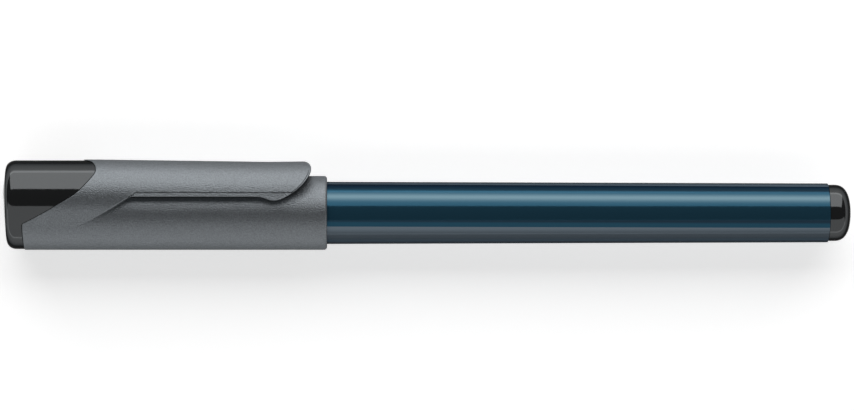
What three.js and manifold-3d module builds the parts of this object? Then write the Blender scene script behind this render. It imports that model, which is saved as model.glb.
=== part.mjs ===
// A capped permanent marker, lying on its side with the clip pointing to +Y.
// Lengths are millimetres. Inside the pen group, X runs from the closed end of the cap (0) to the tail,
// Y points towards the clip, and the barrel's axis is Y = 0, Z = 0.
import * as THREE from "three";
import { mergeVertices } from "three/addons/utils/BufferGeometryUtils.js";
import Module from "manifold-3d";

// Clearances
const RUNNING_GAP = 0.1; // round, between pieces pushed into each other
const END_GAP = 0.3; // lengthwise, between pieces that meet end to end
const SEAM_GAP = 0.12; // between the cap's two visible colours
const ROOT_GAP = 0.15; // between the clip and the shell it grows from
const SLIDE_GAP = 0.05; // between the cap's snap ring and the bead it passes

// Barrel
const BARREL_SHOWN = 83.5; // from the cap's mouth to the barrel's tail end
const BARREL_FRONT_R = 5.245;
const BARREL_TAIL_R = 4.92;
const BARREL_WALL = 0.8;
const BARREL_EDGE = 0.15; // chamfer at the tail end

// Cap, along the axis
const CAP_LENGTH = 53.9;
const MOUTH_DEPTH = 13.7; // from the mouth to the seat that stops the cap
const MOUTH_ROUND = 0.5;
const MOUTH_CHAMFER = 0.2;
const CAP_WALL = 0.825; // at the mouth
const SEAT_STEP = 0.4;
const SKIRT_STOP = 0.25;
const SKIRT_WALL = 0.7;
const END_WALL = 1.2;

// Snap ring in the cap's bore
const RING_WIDTH = 0.8;
const RING_HEIGHT = 0.1;
const RING_RAMP = 0.4;

// Cap, cross-section of the head and the clip
const SHOULDER_EXTRA = 0.13; // the shoulder arcs are this much larger than the round body
const SHOULDER_HALF_GAP = 1.0; // half the distance between the two arcs' centres
const HEAD_RISE = 2.73; // the crown above the round body, over the head
const WAIST_RISE = 2.35; // at the lowest point of the clip's back
const TIP_RISE = 2.41; // at the clip's tip
const HEAD_LEVEL_X = 16; // the crown starts to fall here
const WAIST_BACK = 5.9; // from the waist to the middle of the clip's nose
const END_INSET = 0.13; // how far the glossy end lies under the sleeve's surface

// Rounding of the cap's closed end
const END_ROUND_IN = 2.0; // how far the rounding reaches in from the side
const END_ROUND_BACK = 2.0; // how far it reaches along the axis
const END_DOME_IN = 5.2; // the flat starts this far in
const END_DOME_BACK = 0.26;

// Seam between the glossy end and the sleeve, seen from the side as [x, y]
const SEAM_CORNER = [3.72, -1.92];
const SEAM_SAG = [7.9, 0.24];
const SEAM_BEND = [12.07, 2.8];
const SEAM_RISE = [13.2, 3.5];
const SEAM_NOSE_X = 14.2;
const SEAM_NOSE_R = 1.53;
const SEAM_NOSE_DROP = 1.7; // from the crown to the middle of the nose
const SEAM_NOSE_FROM = -33; // degrees
const SEAM_NOSE_TO = 80;

// Clip
const CLIP_ROOT_X = 21.9;
const CLIP_WALL = 1.3;
const CLIP_EDGE_Y = 2.67; // lower edge of its sides
const CLIP_BODY_GAP = 0.3; // between the nub and the cap's body
const CLIP_TIP_BACK = 2.5; // from the mouth to the clip's tip
const CLIP_NOSE_R = 1.5;
const CLIP_NOSE_FROM = -35; // degrees
const NUB_BACK = 4.61; // from the middle of the nose to the lowest point of the nub
const NUB_DROP = 0.65; // below the lower edge
const NUB_HALF = 3.6;
const NUB_TOP_HALF = 1.2; // half the length of its level top
const NUB_THICKNESS = 1.0;
const NUB_LEAVE = 0.6; // bends of its outline, as shares of its half length
const NUB_LAND = 0.4;
const NUB_LIFT = 0.3;
const TIP_RISE_POINT = [-1.97, 0.31]; // the sloping end, from the middle of the nose and the lower edge
const TIP_SLOPE_POINT = [0.1, 1.73];

// Step where the thick head of the sleeve drops to its round body, from the clip's root and lower edge
const STEP_TOP = [-0.3, 0];
const STEP_BEND = [-3.9, -2.42];
const STEP_FOOT = [-9.6, -5.32];

// Hollow that cores out the head under the crown
const CORE_WALL = 1.2;
const CORE_LIFT = 0.5; // its floor above the clip's lower edge

// Front section
const FLANGE_WIDTH = 0.75;
const FLANGE_STEP = 0.1;
const BEAD_WIDTH = 0.8;
const BEAD_HEIGHT = 0.55;
const GRIP_R = 3.7;
const COLLAR_BACK = 1.4; // from the collar to the grip
const COLLAR_WIDTH = 3.6;
const COLLAR_R = 3.0;
const COLLAR_STEP = 0.4; // down to the neck between the collar and the grip
const CONE_LENGTH = 6.5;
const CONE_TIP_R = 1.1;
const CONE_BASE_R = 2.3;
const FRONT_SPIGOT_LENGTH = 6.7;
const FRONT_WALL = 0.9;
const NIB_SEAT_LENGTH = 16.3;

// Nib
const NIB_SHOWN = 2.2;
const NIB_R = 0.55;
const NIB_TIP_R = 0.35;
const NIB_TAPER = 1.6;
const NIB_IN_RESERVOIR = 5;
const NIB_GAP = 0.05;

// Seal inside the cap
const SEAL_STANDOFF = 4.15; // from the cap's end wall to the seal
const SEAL_ROOM = 5.3; // from the nib's tip to the seal's floor
const SEAL_WALL = 0.85;
const SEAL_MOUTH_PAST = 0.7; // past the collar
const SEAL_RING_WIDTH = 1.4;
const SEAL_RING_INSET = 3.5; // from either end of the seal
const SKIRT_SHORT = 0.5; // the skirt stops this far before the seal's mouth

// Ink reservoir
const WRAP_ROOM = 0.12; // between its film and the barrel's narrowest bore
const WRAP_THICKNESS = 0.1;
const WRAP_GAP = 0.03;

// Tail plug
const PLUG_SHOWN = 3.7;
const PLUG_STEP = 0.22; // below the barrel's tail end
const PLUG_STRAIGHT = 0.86;
const PLUG_FLAT_R = 1.5;
const PLUG_SPIGOT_LENGTH = 6.4;
const PLUG_WALL = 0.9;
const PLUG_ROUND = 2.4; // power of the dome's curve along the axis
const PLUG_FULLNESS = 2.5; // and across it
const SEAT_GAP = 0.05; // flat faces that rest on each other

// Fineness
const SIDES = 40; // facets round every nested piece, all in one phase
const NIB_SIDES = 20;
const ROUND_STEPS = 5;
const CURVE_STEPS = 8; // along each curve of a side view
const DOME_STEPS = 8;
const BEYOND = 12; // reach of a cutting tool past the piece it cuts
const WELD = 1e-4;

// Radii that follow
const BARREL_BORE_R = BARREL_TAIL_R - BARREL_WALL; // at its narrow end
const FLANGE_R = BARREL_FRONT_R - FLANGE_STEP;
const MOUTH_BORE_R = BARREL_FRONT_R + RUNNING_GAP;
const BODY_R = MOUTH_BORE_R + CAP_WALL;
const NARROW_BORE_R = MOUTH_BORE_R - SEAT_STEP;
const SHELL_BORE_R = NARROW_BORE_R + SKIRT_STOP;
const SKIRT_R = SHELL_BORE_R - RUNNING_GAP;
const SKIRT_BORE_R = SKIRT_R - SKIRT_WALL;
const SEAL_RING_R = SKIRT_BORE_R - RUNNING_GAP;
const SEAL_BORE_R = COLLAR_R + RUNNING_GAP;
const SEAL_R = SEAL_BORE_R + SEAL_WALL;
const SNAP_RING_R = NARROW_BORE_R - RING_HEIGHT;
const BEAD_R = SNAP_RING_R - SLIDE_GAP;
const NECK_R = BEAD_R - BEAD_HEIGHT;
const SHOULDER_R = BODY_R + SHOULDER_EXTRA;
const CROWN = BODY_R + HEAD_RISE;
const WRAP_R = BARREL_BORE_R - WRAP_ROOM;
const RESERVOIR_R = WRAP_R - WRAP_THICKNESS - WRAP_GAP;
const NIB_BORE_R = NIB_R + NIB_GAP;
const PLUG_R = BARREL_TAIL_R - PLUG_STEP;
const PLUG_SPIGOT_R = BARREL_BORE_R - RUNNING_GAP;

// Places along the axis that follow, from the cap's end wall back to the grip
const SEAL_X = END_WALL + SEAL_STANDOFF;
const SEAL_FLOOR_X = SEAL_X + SEAL_WALL;
const NIB_TIP_X = SEAL_FLOOR_X + SEAL_ROOM;
const CONE_TIP_X = NIB_TIP_X + NIB_SHOWN;
const NIB_SEAT_X = CONE_TIP_X + NIB_SEAT_LENGTH;
const COLLAR_X = CONE_TIP_X + CONE_LENGTH;
const COLLAR_END_X = COLLAR_X + COLLAR_WIDTH;
const GRIP_X = COLLAR_END_X + COLLAR_BACK;
const SEAL_MOUTH_X = COLLAR_END_X + SEAL_MOUTH_PAST;
const SKIRT_END_X = SEAL_MOUTH_X - SKIRT_SHORT;
const SKIRT_STOP_X = SKIRT_END_X + END_GAP;

// and from the cap's mouth, forwards to the snap ring and back to the tail
const SEAT_X = CAP_LENGTH - MOUTH_DEPTH;
const RING_END_X = SEAT_X - RING_RAMP;
const RING_X = RING_END_X - RING_WIDTH;
const BEAD_END_X = RING_X - RING_RAMP;
const BEAD_X = BEAD_END_X - BEAD_WIDTH;
const FLANGE_X = SEAT_X + END_GAP;
const BARREL_X = FLANGE_X + FLANGE_WIDTH + SEAT_GAP;
const BARREL_END_X = CAP_LENGTH + BARREL_SHOWN;
const FRONT_END_X = FLANGE_X + FLANGE_WIDTH + FRONT_SPIGOT_LENGTH;
const RESERVOIR_X = FRONT_END_X + END_GAP;
const PLUG_X = BARREL_END_X - PLUG_SPIGOT_LENGTH;
const RESERVOIR_END_X = PLUG_X - END_GAP;
const NIB_END_X = RESERVOIR_X + NIB_IN_RESERVOIR;
const NIB_WELL_END_X = NIB_END_X + END_GAP;
const PEN_LENGTH = BARREL_END_X + PLUG_SHOWN;

// Places on the clip that follow
const CLIP_NOSE_X = CAP_LENGTH - CLIP_TIP_BACK - CLIP_NOSE_R;
const CLIP_NOSE_Y = BODY_R + TIP_RISE - CLIP_NOSE_R;
const WAIST_X = CLIP_NOSE_X - WAIST_BACK;
const NUB_X = CLIP_NOSE_X - NUB_BACK;

const wasm = await Module();
wasm.setup();

const { degToRad, mapLinear } = THREE.MathUtils;

// A closed geometry becomes a solid that can be cut and joined, and a solid becomes a geometry again.
function toSolid(geometry) {
  const bare = geometry.index ? geometry.toNonIndexed() : geometry.clone();
  bare.deleteAttribute("normal");
  bare.deleteAttribute("uv");
  const merged = mergeVertices(bare, WELD);
  const vertProperties = merged.attributes.position.array;
  const triVerts = new Uint32Array(merged.index.array);
  return new wasm.Manifold(new wasm.Mesh({ numProp: 3, vertProperties, triVerts }));
}

function toGeometry(solid) {
  const mesh = solid.getMesh();
  const geometry = new THREE.BufferGeometry();
  geometry.setAttribute("position", new THREE.BufferAttribute(mesh.vertProperties, 3));
  geometry.setIndex(new THREE.BufferAttribute(mesh.triVerts, 1));
  const faceted = geometry.toNonIndexed();
  faceted.computeVertexNormals();
  return faceted;
}

// A piece turned about the axis, from a profile of [x, radius] points.
function turned(profile, sides = SIDES) {
  const points = profile.map(([x, r]) => new THREE.Vector2(r, x));
  return new THREE.LatheGeometry(points, sides).rotateZ(-Math.PI / 2);
}

// A ring-shaped piece: its profile closes on itself.
function turnedRing(profile) {
  return turned([...profile, profile[0]]);
}

// A plain round rod from one place on the axis to another.
function rod(fromX, toX, radius) {
  return turned([[fromX, 0], [fromX, radius], [toX, radius], [toX, 0]]);
}

// A prism right through the pen, from a shape drawn in the side view.
function sidePrism(shape) {
  const depth = 2 * BEYOND;
  const options = { depth, bevelEnabled: false, curveSegments: CURVE_STEPS };
  return new THREE.ExtrudeGeometry(shape, options).translate(0, 0, -depth / 2);
}

// The skin over a row of rings, closed by a flat face at each end.
function loft(rings) {
  const count = rings[0].length;
  const index = [];
  for (let i = 0; i + 1 < rings.length; i++) {
    for (let j = 0; j < count; j++) {
      const next = (j + 1) % count;
      const [a, b] = [i * count + j, i * count + next];
      const [c, d] = [a + count, b + count];
      index.push(a, b, d, a, d, c);
    }
  }
  const last = (rings.length - 1) * count;
  for (let j = 1; j + 1 < count; j++) {
    index.push(0, j + 1, j, last, last + j, last + j + 1);
  }
  const geometry = new THREE.BufferGeometry().setFromPoints(rings.flat());
  geometry.setIndex(index);
  return geometry;
}

function roundRing(x, radius) {
  const ring = [];
  for (let i = 0; i < SIDES; i++) {
    const turn = (2 * Math.PI * i) / SIDES;
    ring.push(new THREE.Vector3(x, radius * Math.cos(turn), radius * Math.sin(turn)));
  }
  return ring;
}

// The head in cross-section: a round belly, two shoulder arcs and the flats that join them.
function headRing(x, inset) {
  const bellyR = BODY_R - inset;
  const shoulderR = SHOULDER_R - inset;
  const shoulderY = crownAt(x) - SHOULDER_R;
  const ring = [];
  for (let i = 0; i <= SIDES; i++) {
    const turn = (2 * Math.PI * i) / SIDES;
    const up = Math.cos(turn);
    const out = Math.sin(turn);
    const shoulderZ = i <= SIDES / 2 ? SHOULDER_HALF_GAP : -SHOULDER_HALF_GAP;
    const onShoulder = shoulderY * up + shoulderZ * out + shoulderR > bellyR;
    const y = onShoulder ? shoulderY + shoulderR * up : bellyR * up;
    const z = onShoulder ? shoulderZ + shoulderR * out : bellyR * out;
    ring.push(new THREE.Vector3(x, y, z));
  }
  return ring;
}

// Height of the crown above the axis: level over the head, falling to the waist, rising to the tip.
function crownAt(x) {
  if (x <= HEAD_LEVEL_X) return CROWN;
  if (x <= WAIST_X) return mapLinear(x, HEAD_LEVEL_X, WAIST_X, CROWN, BODY_R + WAIST_RISE);
  return BODY_R + mapLinear(x, WAIST_X, CLIP_NOSE_X, WAIST_RISE, TIP_RISE);
}

function barrelRadius(x) {
  return mapLinear(x, BARREL_X, BARREL_END_X, BARREL_FRONT_R, BARREL_TAIL_R);
}

// Side view of everything left of the seam, grown outwards by a gap.
function seamShape(grow) {
  const from = degToRad(SEAM_NOSE_FROM);
  const to = degToRad(SEAM_NOSE_TO);
  const across = -grow * Math.sin(from);
  const down = grow * Math.cos(from);
  const noseR = SEAM_NOSE_R + grow;
  const noseY = CROWN - SEAM_NOSE_DROP;
  const beside = ([x, y]) => [x + across, y - down];
  const noseStart = [SEAM_NOSE_X + noseR * Math.cos(from), noseY + noseR * Math.sin(from)];
  const shape = new THREE.Shape();
  shape.moveTo(-BEYOND, -BEYOND);
  shape.lineTo(SEAM_CORNER[0] + grow, -BEYOND);
  shape.lineTo(SEAM_CORNER[0] + grow, SEAM_CORNER[1] - across);
  shape.quadraticCurveTo(...beside(SEAM_SAG), ...beside(SEAM_BEND));
  shape.quadraticCurveTo(...beside(SEAM_RISE), ...noseStart);
  shape.absarc(SEAM_NOSE_X, noseY, noseR, from, to, false);
  shape.lineTo(SEAM_NOSE_X + noseR * Math.cos(to), BEYOND);
  shape.lineTo(-BEYOND, BEYOND);
  return shape;
}

// Side view of the sleeve's thick head, up to the step and the clip's root.
function headShape() {
  const fromRoot = ([x, y]) => [CLIP_ROOT_X + x, CLIP_EDGE_Y + y];
  const shape = new THREE.Shape();
  shape.moveTo(-BEYOND, -BEYOND);
  shape.lineTo(CLIP_ROOT_X + STEP_FOOT[0], -BEYOND);
  shape.lineTo(...fromRoot(STEP_FOOT));
  shape.quadraticCurveTo(...fromRoot(STEP_BEND), ...fromRoot(STEP_TOP));
  shape.lineTo(CLIP_ROOT_X, CLIP_EDGE_Y);
  shape.lineTo(CLIP_ROOT_X, BEYOND);
  shape.lineTo(-BEYOND, BEYOND);
  return shape;
}

// Side view of the clip: its straight lower edge, the nub, the sloping end and the round nose.
function clipShape() {
  const from = degToRad(CLIP_NOSE_FROM);
  const fromNose = ([x, y]) => [CLIP_NOSE_X + x, CLIP_EDGE_Y + y];
  const noseStart = [CLIP_NOSE_X + CLIP_NOSE_R * Math.cos(from), CLIP_NOSE_Y + CLIP_NOSE_R * Math.sin(from)];
  const nubY = CLIP_EDGE_Y - NUB_DROP;
  const leave = [NUB_X - NUB_LEAVE * NUB_HALF, CLIP_EDGE_Y];
  const land = [NUB_X - NUB_LAND * NUB_HALF, nubY];
  const lift = [NUB_X + NUB_LIFT * NUB_HALF, nubY];
  const shape = new THREE.Shape();
  shape.moveTo(CLIP_ROOT_X + ROOT_GAP, CLIP_EDGE_Y);
  shape.lineTo(NUB_X - NUB_HALF, CLIP_EDGE_Y);
  shape.bezierCurveTo(...leave, ...land, NUB_X, nubY);
  shape.quadraticCurveTo(...lift, ...fromNose(TIP_RISE_POINT));
  shape.quadraticCurveTo(...fromNose(TIP_SLOPE_POINT), ...noseStart);
  shape.absarc(CLIP_NOSE_X, CLIP_NOSE_Y, CLIP_NOSE_R, from, Math.PI / 2, false);
  shape.lineTo(CLIP_NOSE_X, BEYOND);
  shape.lineTo(CLIP_ROOT_X + ROOT_GAP, BEYOND);
  return shape;
}

// The cored-out space under the crown, open at the seam in both pieces that it runs through.
function headCore() {
  const inner = toSolid(loft([END_WALL, CLIP_ROOT_X - CORE_WALL].map((x) => headRing(x, CORE_WALL))));
  const floor = new THREE.BoxGeometry(CAP_LENGTH, BEYOND, 2 * BEYOND);
  floor.translate(CAP_LENGTH / 2, CLIP_EDGE_Y + CORE_LIFT + BEYOND / 2, 0);
  return inner.subtract(toSolid(rod(0, CAP_LENGTH, BODY_R))).intersect(toSolid(floor));
}

// Glossy end of the cap, with the round skirt that plugs into the sleeve.
function capEnd() {
  const rings = [headRing(0, END_INSET + END_DOME_IN)];
  for (let i = ROUND_STEPS; i >= 0; i--) {
    const turn = (i / ROUND_STEPS) * (Math.PI / 2);
    const inset = END_INSET + END_ROUND_IN * (1 - Math.cos(turn));
    const x = END_ROUND_BACK - (END_ROUND_BACK - END_DOME_BACK) * Math.sin(turn);
    rings.push(headRing(x, inset));
  }
  rings.push(headRing(CLIP_ROOT_X, END_INSET));
  const skirt = toSolid(rod(END_WALL, SKIRT_END_X, SKIRT_R));
  const bore = toSolid(rod(END_WALL, CAP_LENGTH, SKIRT_BORE_R));
  const visible = toSolid(loft(rings)).intersect(toSolid(sidePrism(seamShape(0))));
  return toGeometry(visible.add(skirt).subtract(bore).subtract(headCore()));
}

// The sleeve's bore, from the head to the mouth.
function shellBore() {
  const profile = [
    [-END_GAP, 0],
    [-END_GAP, SHELL_BORE_R],
    [SKIRT_STOP_X, SHELL_BORE_R],
    [SKIRT_STOP_X, NARROW_BORE_R],
    [BEAD_END_X, NARROW_BORE_R],
    [RING_X, SNAP_RING_R],
    [RING_END_X, SNAP_RING_R],
    [SEAT_X, NARROW_BORE_R],
    [SEAT_X, MOUTH_BORE_R],
    [CAP_LENGTH - MOUTH_CHAMFER, MOUTH_BORE_R],
    [CAP_LENGTH + MOUTH_CHAMFER, MOUTH_BORE_R + 2 * MOUTH_CHAMFER],
    [CAP_LENGTH + MOUTH_CHAMFER, 0],
  ];
  return toSolid(turned(profile));
}

// Satin sleeve of the cap: a round body whose head thickens towards the clip.
function capShell() {
  const bodyRings = [roundRing(0, BODY_R)];
  for (let i = 0; i <= ROUND_STEPS; i++) {
    const turn = (i / ROUND_STEPS) * (Math.PI / 2);
    const x = CAP_LENGTH - MOUTH_ROUND * (1 - Math.sin(turn));
    bodyRings.push(roundRing(x, BODY_R - MOUTH_ROUND * (1 - Math.cos(turn))));
  }
  const head = toSolid(loft([0, HEAD_LEVEL_X, CLIP_ROOT_X + BEYOND].map((x) => headRing(x, 0))));
  const thickHead = head.intersect(toSolid(sidePrism(headShape())));
  const outer = thickHead.add(toSolid(loft(bodyRings)));
  const behindSeam = outer.subtract(toSolid(sidePrism(seamShape(SEAM_GAP))));
  return toGeometry(behindSeam.subtract(shellBore()).subtract(headCore()));
}

// Clip: a tongue of the head's outer skin, thickened across at the nub.
function clip() {
  const outerRings = [CLIP_ROOT_X, WAIST_X, CAP_LENGTH].map((x) => headRing(x, 0));
  const innerRings = [
    headRing(0, CLIP_WALL),
    headRing(NUB_X - NUB_HALF, CLIP_WALL),
    headRing(NUB_X - NUB_TOP_HALF, CLIP_WALL + NUB_THICKNESS),
    headRing(NUB_X + NUB_TOP_HALF, CLIP_WALL + NUB_THICKNESS),
    headRing(NUB_X + NUB_HALF, CLIP_WALL),
    headRing(CAP_LENGTH + END_GAP, CLIP_WALL),
  ];
  const skin = toSolid(loft(outerRings)).subtract(toSolid(loft(innerRings)));
  const room = toSolid(rod(0, CAP_LENGTH + END_GAP, BODY_R + CLIP_BODY_GAP));
  return toGeometry(skin.subtract(room).intersect(toSolid(sidePrism(clipShape()))));
}

// Soft thimble inside the cap that closes round the collar and keeps the nib wet.
function innerCap() {
  const ringAt = (x) => [
    [x, SEAL_R],
    [x, SEAL_RING_R],
    [x + SEAL_RING_WIDTH, SEAL_RING_R],
    [x + SEAL_RING_WIDTH, SEAL_R],
  ];
  return turned([
    [SEAL_X, 0],
    [SEAL_X, SEAL_R],
    ...ringAt(SEAL_X + SEAL_RING_INSET),
    ...ringAt(SEAL_MOUTH_X - SEAL_RING_INSET - SEAL_RING_WIDTH),
    [SEAL_MOUTH_X, SEAL_R],
    [SEAL_MOUTH_X, SEAL_BORE_R],
    [SEAL_FLOOR_X, SEAL_BORE_R],
    [SEAL_FLOOR_X, 0],
  ]);
}

// Front section: cone, sealing collar, grip, snap bead, flange and the spigot inside the barrel.
function frontSection() {
  const flangeEnd = FLANGE_X + FLANGE_WIDTH;
  const spigotR = barrelRadius(FRONT_END_X) - BARREL_WALL - RUNNING_GAP;
  const roomR = spigotR - FRONT_WALL;
  return turnedRing([
    [CONE_TIP_X, NIB_BORE_R],
    [CONE_TIP_X, CONE_TIP_R],
    [COLLAR_X, CONE_BASE_R],
    [COLLAR_X, COLLAR_R],
    [COLLAR_END_X, COLLAR_R],
    [COLLAR_END_X, COLLAR_R - COLLAR_STEP],
    [GRIP_X, COLLAR_R - COLLAR_STEP],
    [GRIP_X, GRIP_R],
    [BEAD_X - RING_RAMP, NECK_R],
    [BEAD_X, BEAD_R],
    [BEAD_END_X, BEAD_R],
    [BEAD_END_X + RING_RAMP, NECK_R],
    [FLANGE_X, NECK_R],
    [FLANGE_X, FLANGE_R],
    [flangeEnd, FLANGE_R],
    [flangeEnd, spigotR],
    [FRONT_END_X, spigotR],
    [FRONT_END_X, roomR],
    [NIB_SEAT_X + roomR, roomR],
    [NIB_SEAT_X, NIB_BORE_R],
  ]);
}

// Fibre nib, pressed through the cone and reaching back into the reservoir.
function nib() {
  const tip = [];
  for (let i = 0; i <= ROUND_STEPS; i++) {
    const turn = (i / ROUND_STEPS) * (Math.PI / 2);
    tip.push([NIB_TIP_X + NIB_TIP_R * (1 - Math.cos(turn)), NIB_TIP_R * Math.sin(turn)]);
  }
  return turned([...tip, [NIB_TIP_X + NIB_TAPER, NIB_R], [NIB_END_X, NIB_R], [NIB_END_X, 0]], NIB_SIDES);
}

// Ink-soaked fibre rod with the well that takes the nib.
function reservoirCore() {
  return turned([
    [NIB_WELL_END_X, 0],
    [NIB_WELL_END_X, NIB_BORE_R],
    [RESERVOIR_X, NIB_BORE_R],
    [RESERVOIR_X, RESERVOIR_R],
    [RESERVOIR_END_X, RESERVOIR_R],
    [RESERVOIR_END_X, 0],
  ]);
}

// Film wrapped round the fibre rod.
function reservoirWrap() {
  const inside = RESERVOIR_R + WRAP_GAP;
  return turnedRing([
    [RESERVOIR_X, inside],
    [RESERVOIR_X, WRAP_R],
    [RESERVOIR_END_X, WRAP_R],
    [RESERVOIR_END_X, inside],
  ]);
}

// Tapered tube that is held and carries the ink.
function barrel() {
  return turnedRing([
    [BARREL_X, BARREL_FRONT_R - BARREL_WALL],
    [BARREL_X, BARREL_FRONT_R],
    [BARREL_END_X - BARREL_EDGE, barrelRadius(BARREL_END_X - BARREL_EDGE)],
    [BARREL_END_X, BARREL_TAIL_R - BARREL_EDGE],
    [BARREL_END_X, BARREL_BORE_R],
  ]);
}

// Domed plug that closes the tail, with a hollow spigot.
function tailPlug() {
  const seatX = BARREL_END_X + SEAT_GAP;
  const domeX = seatX + PLUG_STRAIGHT;
  const dome = [];
  const flatShare = (1 - (PLUG_FLAT_R / PLUG_R) ** PLUG_FULLNESS) ** (1 / PLUG_ROUND);
  for (let i = 0; i <= DOME_STEPS; i++) {
    const along = flatShare * Math.sin((i / DOME_STEPS) * (Math.PI / 2));
    const r = PLUG_R * (1 - along ** PLUG_ROUND) ** (1 / PLUG_FULLNESS);
    dome.push([mapLinear(along, 0, flatShare, domeX, PEN_LENGTH), r]);
  }
  return turned([
    [BARREL_END_X, 0],
    [BARREL_END_X, PLUG_SPIGOT_R - PLUG_WALL],
    [PLUG_X, PLUG_SPIGOT_R - PLUG_WALL],
    [PLUG_X, PLUG_SPIGOT_R],
    [seatX, PLUG_SPIGOT_R],
    [seatX, PLUG_R],
    ...dome,
    [PEN_LENGTH, 0],
  ]);
}

// Materials
const satinGrey = { color: 0x8d9196, roughness: 0.42, metalness: 0.55 };
const glossBlack = { color: 0x17181a, roughness: 0.16, metalness: 0 };
const petrolBlue = { color: 0x173a50, roughness: 0.26, metalness: 0.35 };
const sealWhite = { color: 0xe4e5e1, roughness: 0.5, metalness: 0 };
const inkFibre = { color: 0x232327, roughness: 0.9, metalness: 0 };
const reservoirFibre = { color: 0x3a3a40, roughness: 1, metalness: 0 };
const clearFilm = { color: 0xcfd4d8, roughness: 0.3, metalness: 0 };

const pieces = [
  ["cap_shell", capShell(), satinGrey],
  ["clip", clip(), satinGrey],
  ["cap_end", capEnd(), glossBlack],
  ["inner_cap", innerCap(), sealWhite],
  ["front_section", frontSection(), glossBlack],
  ["nib", nib(), inkFibre],
  ["reservoir_core", reservoirCore(), reservoirFibre],
  ["reservoir_wrap", reservoirWrap(), clearFilm],
  ["barrel", barrel(), petrolBlue],
  ["tail_plug", tailPlug(), glossBlack],
];

// The marker stands on its side, centred over the origin.
const pen = new THREE.Group();
pen.position.set(-PEN_LENGTH / 2, (BODY_R - CROWN) / 2, SHOULDER_HALF_GAP + SHOULDER_R);
for (const [name, geometry, look] of pieces) {
  const mesh = new THREE.Mesh(geometry, new THREE.MeshStandardMaterial(look));
  mesh.name = name;
  pen.add(mesh);
}

const marker = new THREE.Group();
marker.add(pen);

export default marker;
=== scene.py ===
"""Looks of the capped permanent marker: fine meshes, finishes, studio light and camera.

Sizes are in millimetres in the pen's own frame: X from the cap's closed end to the tail, Y towards the
clip, and the barrel's axis at Y = 0, Z = 0. place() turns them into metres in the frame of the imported
model.
"""

import math

import bmesh
import bpy
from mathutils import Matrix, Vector

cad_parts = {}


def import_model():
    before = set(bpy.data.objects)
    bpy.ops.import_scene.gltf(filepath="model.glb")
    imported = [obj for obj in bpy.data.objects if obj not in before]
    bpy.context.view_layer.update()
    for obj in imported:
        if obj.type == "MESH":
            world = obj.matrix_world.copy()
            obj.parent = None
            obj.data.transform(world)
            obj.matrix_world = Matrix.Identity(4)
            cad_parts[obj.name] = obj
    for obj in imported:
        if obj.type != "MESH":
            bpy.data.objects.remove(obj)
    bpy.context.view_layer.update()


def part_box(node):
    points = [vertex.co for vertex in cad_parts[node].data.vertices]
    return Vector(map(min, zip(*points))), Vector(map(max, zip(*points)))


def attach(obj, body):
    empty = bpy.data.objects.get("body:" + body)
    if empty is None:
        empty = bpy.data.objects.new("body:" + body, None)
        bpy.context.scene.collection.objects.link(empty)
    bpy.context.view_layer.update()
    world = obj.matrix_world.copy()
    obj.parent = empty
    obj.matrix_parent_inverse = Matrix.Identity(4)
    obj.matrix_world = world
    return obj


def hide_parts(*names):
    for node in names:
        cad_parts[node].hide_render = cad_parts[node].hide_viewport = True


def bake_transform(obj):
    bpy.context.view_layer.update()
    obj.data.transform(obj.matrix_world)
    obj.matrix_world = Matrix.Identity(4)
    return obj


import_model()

MM = 0.001

# Where the pen lies
barrel_low, barrel_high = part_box("barrel")
CLOSED_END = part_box("cap_end")[0].x
PEN_ORIGIN = Vector((CLOSED_END, (barrel_low.y + barrel_high.y) / 2, (barrel_low.z + barrel_high.z) / 2))


def place(x, y, z):
    """A point of the pen's frame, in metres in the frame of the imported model."""
    return PEN_ORIGIN + Vector((x, y, z)) * MM


# Lengths and radii of the marker
LENGTH = 141.1
CAP_LENGTH = 53.9
BARREL_X = 41.3
BARREL_END_X = 137.4
BARREL_FRONT_R = 5.245
BARREL_TAIL_R = 4.92
BARREL_WALL = 0.8
BARREL_FRONT_ROUND, BARREL_TAIL_ROUND = 0.1, 0.15

# Inside of the cap: the mouth's bore, a narrower one with the snap ring at its start, and the skirt
BODY_R = 6.17
MOUTH_DEPTH = 13.7
MOUTH_ROUND = 0.5
MOUTH_LEAD = 0.2
MOUTH_BORE_R = 5.345
NARROW_BORE_R = 4.945
SNAP_HEIGHT, SNAP_RAMP, SNAP_LENGTH = 0.1, 0.4, 0.8
SHELL_BORE_R = 5.195
SKIRT_R = 5.095
SKIRT_BORE_R = 4.395
SKIRT_END_X = 24.0
SKIRT_GAP = 0.3
END_WALL = 1.2
SEAT_X = CAP_LENGTH - MOUTH_DEPTH
SHELL_BORE_X = SKIRT_END_X + SKIRT_GAP

# Tail plug: its dome is fuller than a circle's arc, and its spigot stands in the barrel
TAIL_R = 4.7
TAIL_GAP, TAIL_RIM = 0.05, 0.91
TAIL_SEAT_X = BARREL_END_X + TAIL_GAP
TAIL_DOME_X = BARREL_END_X + TAIL_RIM
TAIL_FLAT_R = 1.5
TAIL_FULLNESS, TAIL_ROUNDNESS = 2.5, 2.7
TAIL_SPIGOT_X = 131.0
TAIL_SPIGOT_WALL, TAIL_SPIGOT_GAP = 0.9, 0.1
TAIL_SPIGOT_R = BARREL_TAIL_R - BARREL_WALL - TAIL_SPIGOT_GAP

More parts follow.
